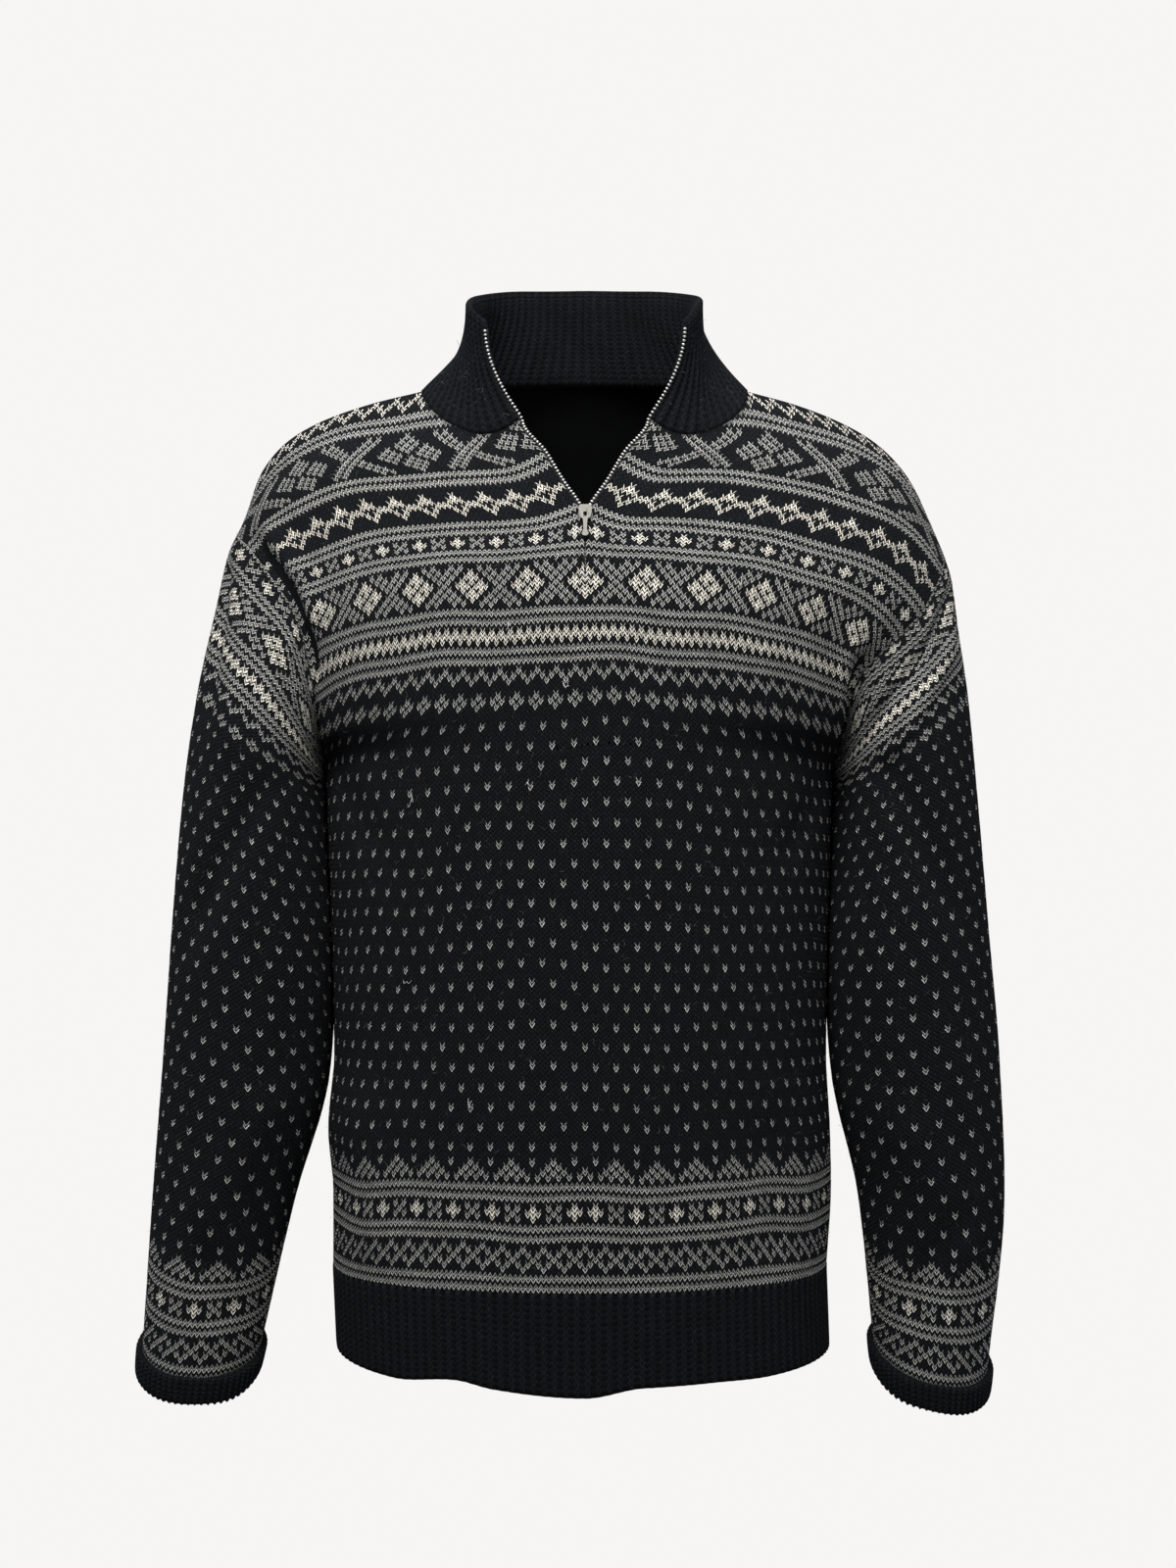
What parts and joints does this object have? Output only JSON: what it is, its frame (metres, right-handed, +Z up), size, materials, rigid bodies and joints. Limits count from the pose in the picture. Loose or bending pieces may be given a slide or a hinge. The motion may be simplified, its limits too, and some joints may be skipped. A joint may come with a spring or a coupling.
{
  "type": "quarter-zip sweater",
  "caption": "Knitted quarter-zip sweater in its hollow worn form, with an open stand collar, traditional patterned bands, turned-up ribbed cuffs and a ribbed hem.",
  "frame": {"origin": "midway between the two shoulder high points, at the foot of the collar, where the wearer's shoulders carry the sweater", "axes": "+Z up, -Y out of the front, +X towards the wearer's left sleeve"},
  "size_m": [0.6726, 0.276, 0.8512],
  "materials": {
    "patterned_knit": "woolly stranded knit, charcoal with grey-beige and cream bands",
    "ribbed_knit": "plain charcoal wool ribbing",
    "zip_tape": "dark woven tape that carries pale metal teeth",
    "zip_metal": "worn nickel"
  },
  "bodies": {
    "sweater": {"front_panel": "patterned_knit", "back_panel": "patterned_knit", "sleeve_right": "patterned_knit", "sleeve_left": "patterned_knit", "collar": "ribbed_knit", "cuff_right": "ribbed_knit", "cuff_left": "ribbed_knit", "hem_rib_front": "ribbed_knit", "hem_rib_back": "ribbed_knit", "zip_right": "zip_tape", "zip_left": "zip_tape", "zip_slider": "zip_metal"},
    "pull_tab": {"zip_pull": "zip_metal"}
  },
  "joints": [
    {"name": "pull_tab_hinge", "type": "hinge", "parent": "sweater", "child": "pull_tab", "pos_m": [0, -0.11204, -0.08803], "axis": [-1, 0, 0], "range_deg": [0, 140]}
  ]
}
